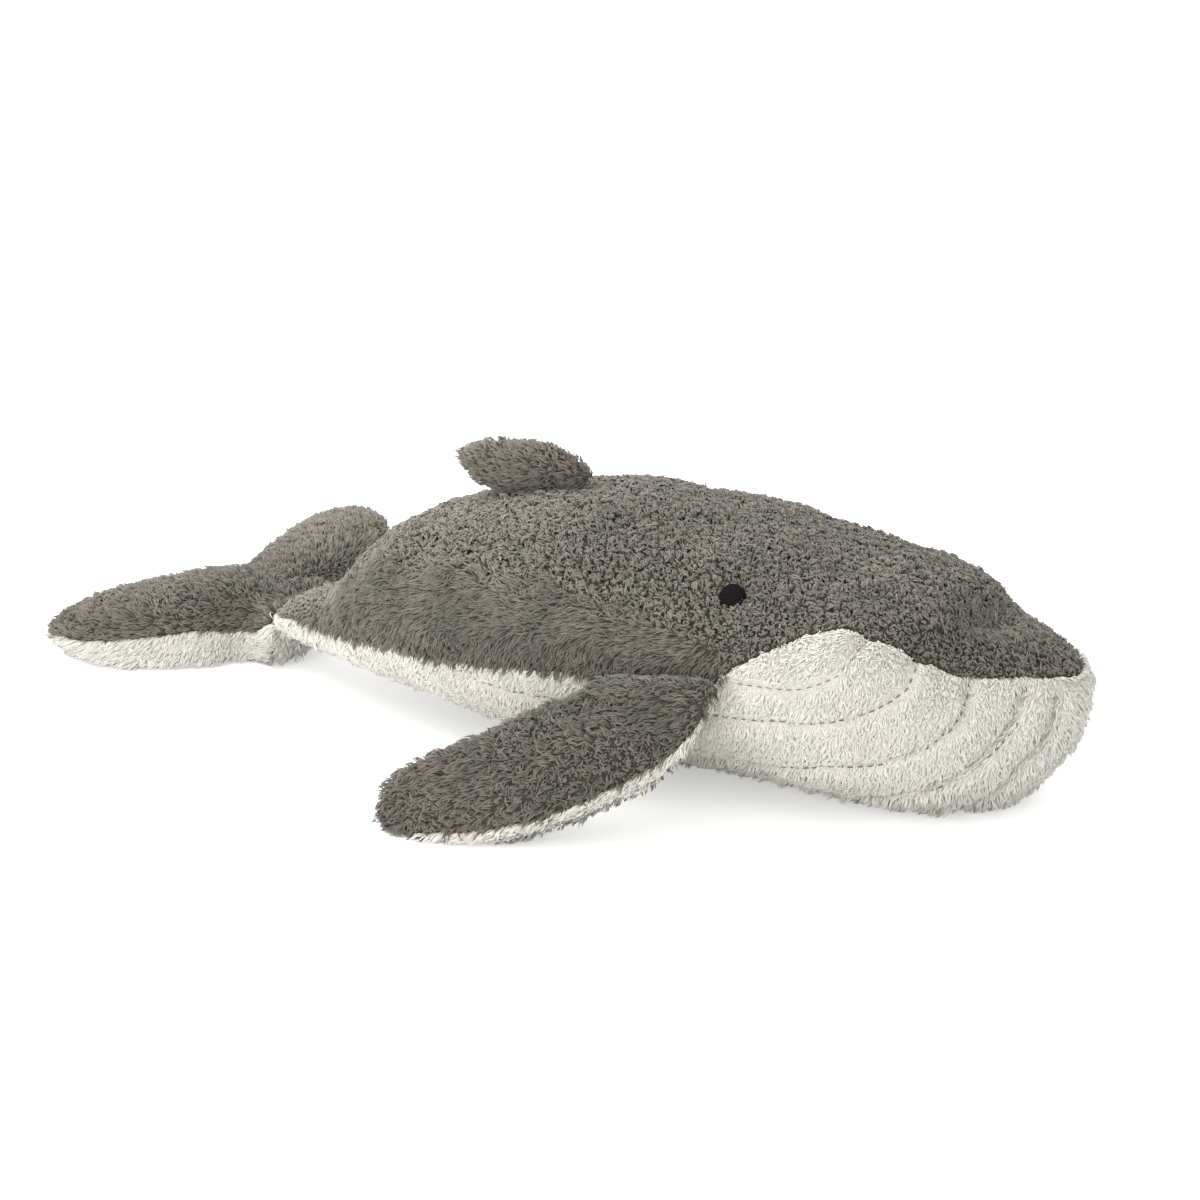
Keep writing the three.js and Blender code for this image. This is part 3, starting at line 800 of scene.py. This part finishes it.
def lay_locks(name, roots, normals, look, rng):
    """A pile mesh. look gives for each lock its length and width, how steeply its lower and upper half
    rise, the way that it is combed, how far it strays from that, how it curls and how tufts pull."""
    count = len(roots)
    comb = flat_on(look["comb"], normals)
    angle = rng.normal(0, 1, count) * look["stray"]
    heading = unit(np.cos(angle)[:, None] * comb + np.sin(angle)[:, None] * np.cross(normals, comb))
    side = np.cross(normals, heading)
    length = look["length"] * rng.uniform(0.8, 1.15, count)
    width = look["width"] * rng.uniform(0.8, 1.2, count)
    middles = rng.choice(count, max(1, count // tuft_size), replace=False)
    near = KDTree(len(middles))
    for index, middle in enumerate(middles):
        near.insert(roots[middle], index)
    near.balance()
    tuft = np.array([near.find(Vector(root))[1] for root in roots])
    length *= rng.uniform(0.72, 1.25, len(middles))[tuft]
    wisp = rng.random(count) < wisp_share
    length[wisp] *= 1.25
    width[wisp] *= 0.65
    curl = look["curl"] * rng.normal(0, 1, count)
    line = [roots - normals * root_depth]
    for rise, turn in ((look["rise_low"], 0.25), (look["rise_high"], 0.9)):
        rise = rise + rng.normal(0, 0.14 + 0.1 * turn, count)
        along = np.cos(curl * turn)[:, None] * heading + np.sin(curl * turn)[:, None] * side
        ahead = np.cos(rise)[:, None] * along + np.sin(rise)[:, None] * normals
        line.append(line[-1] + ahead * (length / 2)[:, None])
    lean = line[2][middles[tuft]] - line[2]
    lean *= np.minimum(1, 0.6 * length / np.maximum(np.linalg.norm(lean, axis=1), 1e-9))[:, None]
    lean *= column(look["pull"] * np.ones(count))
    line[1] = line[1] + lean * 0.3
    line[2] = line[2] + lean
    for point in line:
        point[:, 2] = np.maximum(point[:, 2], line_floor)
    taper = (1.0, 0.8, 0.0)
    places = np.empty((count, len(lock_corners), 3))
    facing = np.empty((count, len(lock_corners), 3))
    for index, (level, turn) in enumerate(zip(lock_level, lock_turn)):
        ahead = unit(line[min(level + 1, 2)] - line[max(level - 1, 0)])
        across = unit(np.cross(normals, ahead))
        upwards = np.cross(ahead, across)
        out = (math.sin(turn) * upwards * 0.8 + math.cos(turn) * across) * (width / 2)[:, None]
        places[:, index] = line[level] + out * taper[level]
        facing[:, index] = unit(unit(out) * look.get("relief", 0.75) + normals)
    places[:, :, 2] = np.maximum(places[:, :, 2], side_floor)
    mesh = bpy.data.meshes.new(name)
    faces = (lock_faces[None] + (np.arange(count) * len(lock_corners))[:, None, None]).reshape(-1, 3)
    mesh.vertices.add(count * len(lock_corners))
    mesh.vertices.foreach_set("co", places.astype(np.float32).ravel())
    mesh.loops.add(faces.size)
    mesh.loops.foreach_set("vertex_index", faces.astype(np.int32).ravel())
    mesh.polygons.add(len(faces))
    mesh.polygons.foreach_set("loop_start", np.arange(0, faces.size, 3, dtype=np.int32))
    mesh.polygons.foreach_set("use_smooth", np.ones(len(faces), bool))
    mesh.update(calc_edges=True)
    mesh.normals_split_custom_set_from_vertices(facing.reshape(-1, 3))
    # A tuft's random tone, with the painted light and shade of its place added.
    tuft_tone_and_painted_light = rng.random(len(middles))[tuft] + look.get("shade", 0)
    for attribute, values in (("tip", np.tile(lock_level / 2, count)),
                              ("lock", np.repeat(rng.random(count), len(lock_corners))),
                              ("tuft", np.repeat(tuft_tone_and_painted_light, len(lock_corners)))):
        field = mesh.attributes.new(attribute, "FLOAT", "POINT")
        field.data.foreach_set("value", values.astype(np.float32))
    cells = math.ceil(math.sqrt(count))
    cell = np.stack([np.arange(count) % cells, np.arange(count) // cells], axis=1)
    spread = np.stack([lock_turn[lock_faces] / (2 * math.pi) % 1, lock_level[lock_faces] / 2], axis=2)
    wrap = (spread[:, :, 0].max(axis=1) - spread[:, :, 0].min(axis=1)) > 0.5
    spread[wrap, :, 0] = np.where(spread[wrap, :, 0] < 0.5, spread[wrap, :, 0] + 1, spread[wrap, :, 0])
    spread[:, :, 0] = spread[:, :, 0] / 1.7
    laid = (cell[:, None, None] + 0.08 + 0.84 * np.clip(spread, 0, 1)[None]) / cells
    mesh.uv_layers.new(name="OFBake").uv.foreach_set("vector", laid.astype(np.float32).ravel())
    piece = bpy.data.objects.new(name, mesh)
    bpy.context.scene.collection.objects.link(piece)
    return piece


print("the laying is ready; locks are laid below, panel by panel")

# %% [markdown]
# The comb follows the photograph. On the head and along the top the pile is curled into small round
# tufts with no direction. On the sides it lies in longer streaks, backwards and down. Next to the seam it
# hangs straight down over the cream fabric, and it is short round the eye.

# %% Grey pile of the back
most_locks = 22000
pile_area = 1.5 * MM * MM
belly_tree = BVHTree.FromBMesh(panels["belly_panel"])


def dressed(piece, material):
    piece.data.materials.append(material)
    return piece


def back_look(roots, normals):
    on_side = eased(normals[:, 2], 0.82, 0.35)
    on_head = eased(roots[:, 0], 130 * MM, 175 * MM)
    on_snout = eased(roots[:, 0], 222 * MM, 256 * MM)
    streak = on_side * (1 - 0.9 * on_head) + 0.4 * on_snout
    streak = np.clip(streak + 0.2 * waves(roots, 16 * MM, 0.6), 0, 1)
    to_seam = np.array([belly_tree.find_nearest(Vector(root))[3] for root in roots])
    by_seam = eased(to_seam, 26 * MM, 6 * MM)
    swirl = (0.6 - 0.4 * on_snout) * waves(roots, 24 * MM, 2.1)
    comb = np.stack([-0.9 + 0.75 * by_seam * (1 - on_snout), 0.35 * swirl,
                     -0.45 - 0.9 * by_seam + 0.5 * on_snout + 0.4 * swirl], axis=1)
    to_eye = np.min([np.linalg.norm(roots - np.array(eye), axis=1) for eye in eye_places.values()], axis=0)
    short = 0.4 + 0.6 * eased(to_eye, 8 * MM, 16 * MM)
    kept = to_eye > 7.6 * MM
    short *= 1 - 0.25 * by_seam
    upper = eased(normals[:, 2], 0.3, 0.8)
    # Painted light and shade: upward faces behind the middle and the tail stock lighter, head sides darker.
    shade = (0.75 * upper * eased(roots[:, 0], 75 * MM, 15 * MM) - 0.35 * on_head * on_side
             + 0.35 * eased(roots[:, 0], -90 * MM, -150 * MM))
    return {"length": (5.3 + 3.4 * streak) * MM * short, "width": (1.6 - 0.65 * streak) * MM,
            "rise_low": 1.4 - 0.7 * streak, "rise_high": 0.2 - 0.05 * streak, "comb": comb,
            "stray": 1.6 - 1.3 * streak, "curl": 1.2 - 0.9 * streak, "pull": 0.9 - 0.3 * streak,
            "shade": shade}, kept


def kept_rows(look, kept):
    return {name: value[kept] if np.ndim(value) else value for name, value in look.items()}


def lay_panel(name, panel, look_of, seed, slot):
    """Pile over one panel, as one or more pieces of at most most_locks locks each."""
    rng = np.random.default_rng(seed)
    roots, normals = sites_on(panel, pile_area, rng)
    look, kept = look_of(roots, normals)
    roots, normals, look = roots[kept], normals[kept], kept_rows(look, kept)
    parts = math.ceil(len(roots) / most_locks)
    cuts = np.quantile(roots[:, 0], np.arange(1, parts) / parts) if parts > 1 else []
    made = []
    for part in range(parts):
        chosen = np.digitize(roots[:, 0], cuts) == part
        label = name if parts == 1 else name + "_" + str(part + 1)
        piece = lay_locks(label, roots[chosen], normals[chosen], kept_rows(look, chosen), rng)
        made.append(dressed(piece, paints[slot]))
    print(name, len(roots), "locks in", parts, "pieces")
    return made


piles = {}
for number, side in enumerate(("right", "left")):
    piles["back_" + side] = lay_panel("pile_back_" + side, panels["back_" + side], back_look, 21 + number,
                                      "grey_pile")

# %% [markdown]
# The cream pile is shorter and softer. It is brushed down the sides and back under the belly, and it
# parts at the stitched lines, where it is held down.

# %% Cream pile of the belly
def off_floor(roots):
    """0 where the fabric is pressed on the floor, so that its pile lies flat there."""
    return eased(roots[:, 2], 1.2 * MM, 3.5 * MM)


def belly_look(roots, normals):
    under = eased(-normals[:, 2], 0.55, 0.95)
    comb = np.stack([-0.25 - 0.9 * under, 0.25 * waves(roots, 14 * MM, 0.4), -1 + 0.9 * under], axis=1)
    apart = roots - nearest_on(cast_lines)(roots)
    to_line = np.linalg.norm(apart, axis=1)
    parting = falls_off(to_line, 5 * MM)
    comb += column(1.6 * parting) * unit(apart)
    deep = eased(roots[:, 0], 240 * MM, 262 * MM)
    short = 0.5 + 0.5 * eased(to_line, 1.0 * MM, 4.5 * MM)
    kept = (to_line > (0.7 + 0.7 * deep) * MM) & ((under < 0.9) | (np.arange(len(roots)) % 3 == 0))
    low = np.maximum(eased(roots[:, 2], 30 * MM, 8 * MM), 0.5 * eased(roots[:, 0], 272 * MM, 296 * MM))
    lifted = off_floor(roots)
    # Painted shade: the pile in the deepest channels, by the nose, is darker.
    return {"length": (4.9 + 1.8 * low) * MM * short, "width": 1.0 * MM * np.ones(len(roots)),
            "rise_low": (0.85 + 0.25 * low - 0.2 * parting) * lifted,
            "rise_high": (0.15 + 0.35 * low) * lifted, "comb": comb,
            "stray": 0.5 - 0.3 * parting, "curl": 0.5, "pull": 0.75,
            "relief": 0.5, "shade": -4 * deep * falls_off(to_line, 3.2 * MM)}, kept


piles["belly_panel"] = lay_panel("pile_belly", panels["belly_panel"], belly_look, 31, "cream_pile")

# %% [markdown]
# On the limbs the pile is combed from the sewn root to the tip. Grey locks cover the top of each
# flipper and of the flukes, and cream ones the underside.

# %% Pile of the limbs
hinges = {joint["child"]: (Vector(joint["pos_m"]), Vector(joint["axis"]).normalized())
          for joint in frame["joints"]}


def limb_look(comb_of, cream, shade_of):
    """Long grey locks combed along a limb, or cream ones that stand out along its lower edge."""
    def look_of(roots, normals):
        ones = np.ones(len(roots))
        comb = comb_of(roots)
        if cream:
            comb = unit(comb) * 0.4 + normals * np.array((1, 1, 0)) + np.array((0, 0, -0.2))
            lifted = off_floor(roots)
            kept = (roots[:, 2] > 1.3 * MM) | (np.arange(len(roots)) % 2 == 0)
            # Painted shade: the cream pile under the flukes is darker.
            return {"length": 6.6 * MM * ones, "width": 1.2 * MM * ones, "rise_low": 0.8 * lifted,
                    "rise_high": 0.3 * lifted, "comb": comb, "stray": 0.35 * ones, "curl": 0.3, "pull": 0.7,
                    "relief": 0.5, "shade": -eased(roots[:, 0], -150 * MM, -180 * MM)}, kept
        nub = np.clip(0.4 + 0.5 * waves(roots, 15 * MM, 1.1), 0, 1)
        return {"length": (7.6 - 2.2 * nub) * MM, "width": (1.0 + 0.3 * nub) * MM,
                "rise_low": 0.75 + 0.5 * nub, "rise_high": 0.15 - 0.1 * nub, "comb": comb,
                "stray": 0.3 + 1.0 * nub, "curl": 0.3 + 0.8 * nub, "pull": 0.75,
                "shade": shade_of(roots)}, ones > 0
    return look_of


def combed(direction):
    return lambda roots: np.tile(np.array(direction, float), (len(roots), 1))


def combed_flukes(roots):
    hinge, axis = hinges["flukes"]
    backwards = np.array((-axis.y, axis.x, -0.1))
    across = (roots - np.array(hinge)) @ np.array(axis)
    return backwards[None] + column(np.tanh(across / (30 * MM))) * np.array(axis)[None] * 0.7


# Painted light and shade of the limbs' grey pile: darker flippers, lighter far lobe of the flukes and fin.
painted_lights = {"flipper_right": lambda roots: -0.4 * np.ones(len(roots)),
          "flipper_left": lambda roots: -0.4 * np.ones(len(roots)),
          "flukes": lambda roots: 0.75 * eased(roots[:, 1], 30 * MM, 80 * MM),
          "dorsal_fin": lambda roots: 0.8 * np.ones(len(roots))}
combs = {"flipper_right": combed((-0.75, -0.6, -0.35)), "flipper_left": combed((-0.75, 0.6, -0.35)),
         "flukes": combed_flukes, "dorsal_fin": combed((-1, 0, 0.35))}
for number, (limb, (first, second, _)) in enumerate(limb_solids.items()):
    below = "grey_pile" if limb == "dorsal_fin" else "cream_pile"
    for panel, slot, seed in ((first, "grey_pile", 41), (second, below, 51)):
        look_of = limb_look(combs[limb], slot == "cream_pile", painted_lights[limb])
        piles[panel] = lay_panel("pile_" + panel, panels[panel], look_of, seed + number, slot)

# %% [markdown]
# Under the pile each panel is a knitted backing of one or two millimetres. Its edges are drawn in where it
# is sewn, and it gets its thickness from the Solidify modifier. One shader group mottles the colour of the
# backing, and of the wadding and the thread below.

# %% Fabric of the panels
mottled, wants, gives = group_with(
    "mottled",
    [("Color", "NodeSocketColor"), ("Scale", "NodeSocketFloat"), ("Detail", "NodeSocketFloat"),
     ("Dark", "NodeSocketFloat"), ("Pale", "NodeSocketFloat")],
    [("Color", "NodeSocketColor"), ("Height", "NodeSocketFloat")])
place = joined(mottled, "ShaderNodeTexCoord")
grain = joined(mottled, "ShaderNodeTexNoise", place.outputs["Object"], None, wants.outputs["Scale"],
               wants.outputs["Detail"])
tint = joined(mottled, "ShaderNodeMapRange", grain.outputs["Fac"], 0.3, 0.7, wants.outputs["Dark"],
              wants.outputs["Pale"])
lit = joined(mottled, "ShaderNodeVectorMath", wants.outputs["Color"], None, None, tint.outputs[0],
             operation="SCALE")
mottled.links.new(lit.outputs[0], gives.inputs["Color"])
mottled.links.new(grain.outputs["Fac"], gives.inputs["Height"])

# A mottled material's values are its colour, its grain's scale and detail, and its darkest and palest
# share of the colour.
backings = {
    slot: soft_material(name, mottled, (base, 700, 2, 0.8, 1.1), 0.1, rough=0.95, bump=0.6)
    for slot, name, base in (("grey_pile", "grey_backing", colour(92, 85, 79)),
                             ("cream_pile", "cream_backing", colour(226, 219, 205)))
}


def sewn_panel(name, panel, thickness):
    """A closed piece from an open panel, with its edges drawn in and clear of the next panel."""
    rim = [vert for vert in panel.verts if vert.is_boundary]
    middles = {}
    for vert in rim:
        centres = [face.calc_center_median() for face in vert.link_faces]
        middles[vert] = sum(centres, Vector()) / len(centres)
    for vert, middle in middles.items():
        towards = middle - vert.co
        vert.co += towards.normalized() * 0.2 * MM - vert.normal * 0.7 * MM
    panel.normal_update()
    shape = remodelled(panel.copy(), "SOLIDIFY", thickness=thickness, offset=-1)
    for vert in shape.verts:
        vert.co.z = max(vert.co.z, 0.2 * MM)
    return piece_from(name, shape)


skins = {}
for name, panel in panels.items():
    body_one = name in body_solids
    slot = "cream_pile" if name == "belly_panel" or name.endswith("underside") else "grey_pile"
    piece = dressed(sewn_panel("skin_" + name, panel, (2.0 if body_one else 1.2) * MM), backings[slot])
    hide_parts(name)
    skins[name] = piece
print("panels:", len(skins))

# %% [markdown]
# The stuffing inside is loose wadding. Each filling is a soft lump a little smaller than its skin,
# with an uneven surface.

# %% Wadding
wadding = soft_material("wadding", mottled, (colour(246, 243, 236), 160, 5, 0.86, 1.0), 0.1)
fillings = {"body": "body_filling", "flipper_left": "flipper_left_filling",
            "flipper_right": "flipper_right_filling", "flukes": "fluke_filling", "dorsal_fin": "fin_filling"}
waddings = {}
for body, name in fillings.items():
    shape = one_skin([name], (7 if body == "body" else 4) * MM, 3)
    places, normals = corners(shape)
    depth = (3.0 if body == "body" else 1.2) * MM + 0.6 * MM * waves(places, 6 * MM, 0.3)
    piece = dressed(piece_from("wadding_" + body, drawn_in(shape, depth)), wadding)
    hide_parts(name)
    waddings[body] = piece
print("waddings:", sorted(waddings))

# %% [markdown]
# The eyes are satin stitches of black thread: a low dome with close threads across it.
# Each thread is a ball stretched to the chord that it spans, and bent over the dome.

# %% Eyes
thread_grain = (1500, 2, 0.75, 1.15)
black_thread = soft_material("black_thread", mottled, (colour(16, 14, 16), *thread_grain), 0.2, rough=0.75)
grey_thread = soft_material("grey_thread", mottled, (colour(124, 117, 107), *thread_grain), 0.2, rough=0.75,
                            sheen=0.1)
eye_radius = 7.2 * MM
eye_height = 1.5 * MM
eye_lift = 1.4 * MM
eye_thread = 0.42 * MM
stitch_lift = 0.9 * MM


def satin_eye(name, side):
    """One embroidered eye, laid on the skin's dimple."""
    place, normal, _, _ = cut_tree.find_nearest(eye_places[side])
    normal = (normal + Vector((0.35, side * 0.6, 0))).normalized()
    shape = bmesh.new()
    bmesh.ops.create_uvsphere(shape, u_segments=32, v_segments=16, radius=1)
    bmesh.ops.scale(shape, vec=(eye_radius * 0.94, eye_radius * 0.94, eye_height), verts=shape.verts)
    pitch = 0.62 * MM
    half = int(eye_radius / pitch)
    for number in range(-half, half + 1):
        offset = number * pitch
        chord = math.sqrt(max(eye_radius ** 2 - offset ** 2, (0.8 * MM) ** 2))
        made = bmesh.ops.create_uvsphere(shape, u_segments=8, v_segments=14, radius=1,
                                         matrix=Matrix.Rotation(math.pi / 2, 4, "Y"))["verts"]
        bmesh.ops.scale(shape, vec=(chord, eye_thread, eye_thread), verts=made)
        for vert in made:
            vert.co.y += offset
            inwards = max(0, 1 - (vert.co.x ** 2 + offset ** 2) / eye_radius ** 2)
            vert.co.z += eye_height * math.sqrt(inwards)
    turn = normal.to_track_quat("Z", "Y").to_matrix().to_4x4()
    stand = Matrix.Translation(place + normal * eye_lift) @ turn
    bmesh.ops.transform(shape, matrix=stand, verts=shape.verts)
    return dressed(piece_from(name, shape), black_thread)


for side, name in ((-1, "eye_right"), (1, "eye_left")):
    eye = satin_eye("stitched_" + name, side)
    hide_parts(name)
    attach(eye, "body")
print("eyes at", [[round(1000 * v) for v in place] for place in eye_places.values()])

# %% [markdown]
# The thread of the throat lines shows as short stitches with gaps. Each stitch is a small ball
# stretched along the line.

# %% Throat stitches
def stitches(name, lines, length, gap, thicknesses):
    """Grey stitches along each line, with that length, gap and the line's thickness."""
    shape = bmesh.new()
    for line, thickness in zip(lines, thicknesses):
        points = np.array([place for place, _ in line])
        normals = np.array([normal for _, normal in line])
        apart = np.concatenate([[0], np.cumsum(np.linalg.norm(np.diff(points, axis=0), axis=1))])
        for start in np.arange(2 * MM, apart[-1] - length, length + gap):
            middle = [np.interp(start + length / 2, apart, points[:, axis]) for axis in range(3)]
            front = [np.interp(start + length, apart, points[:, axis]) for axis in range(3)]
            up = Vector([np.interp(start, apart, normals[:, axis]) for axis in range(3)]).normalized()
            ahead = (Vector(front) - Vector(middle)).normalized()
            across = up.cross(ahead).normalized()
            turn = Matrix((ahead, across, ahead.cross(across))).transposed().to_4x4()
            size = Matrix.Diagonal((length / 2, thickness / 2, thickness / 2, 1))
            near, normal, _, _ = cut_tree.find_nearest(Vector(middle))
            place = Matrix.Translation(near + normal * stitch_lift)
            bmesh.ops.create_uvsphere(shape, u_segments=6, v_segments=6, radius=1,
                                      matrix=place @ turn @ size @ Matrix.Rotation(math.pi / 2, 4, "Y"))
    return dressed(piece_from(name, shape), grey_thread)


thicknesses = [0.5 * MM, *4 * [0.75 * MM]] * 2
throat_thread = stitches("throat_stitches", cast_lines, 3.2 * MM, 1.8 * MM, thicknesses)
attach(throat_thread, "body")
print("throat stitches:", len(throat_thread.data.polygons) // 36)

# %% [markdown]
# Everything on the body rides on the body. A limb's pieces have their placement baked into their meshes.

# %% Riding and baking
for name in ("back_left", "back_right", "belly_panel"):
    for piece in [skins[name], *piles[name]]:
        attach(piece, "body")
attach(waddings["body"], "body")

for limb, names in limb_solids.items():
    pieces = [skins[names[0]], skins[names[1]], waddings[limb], *piles[names[0]], *piles[names[1]]]
    for piece in pieces:
        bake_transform(piece)
print("limbs:", sorted(limb_solids))
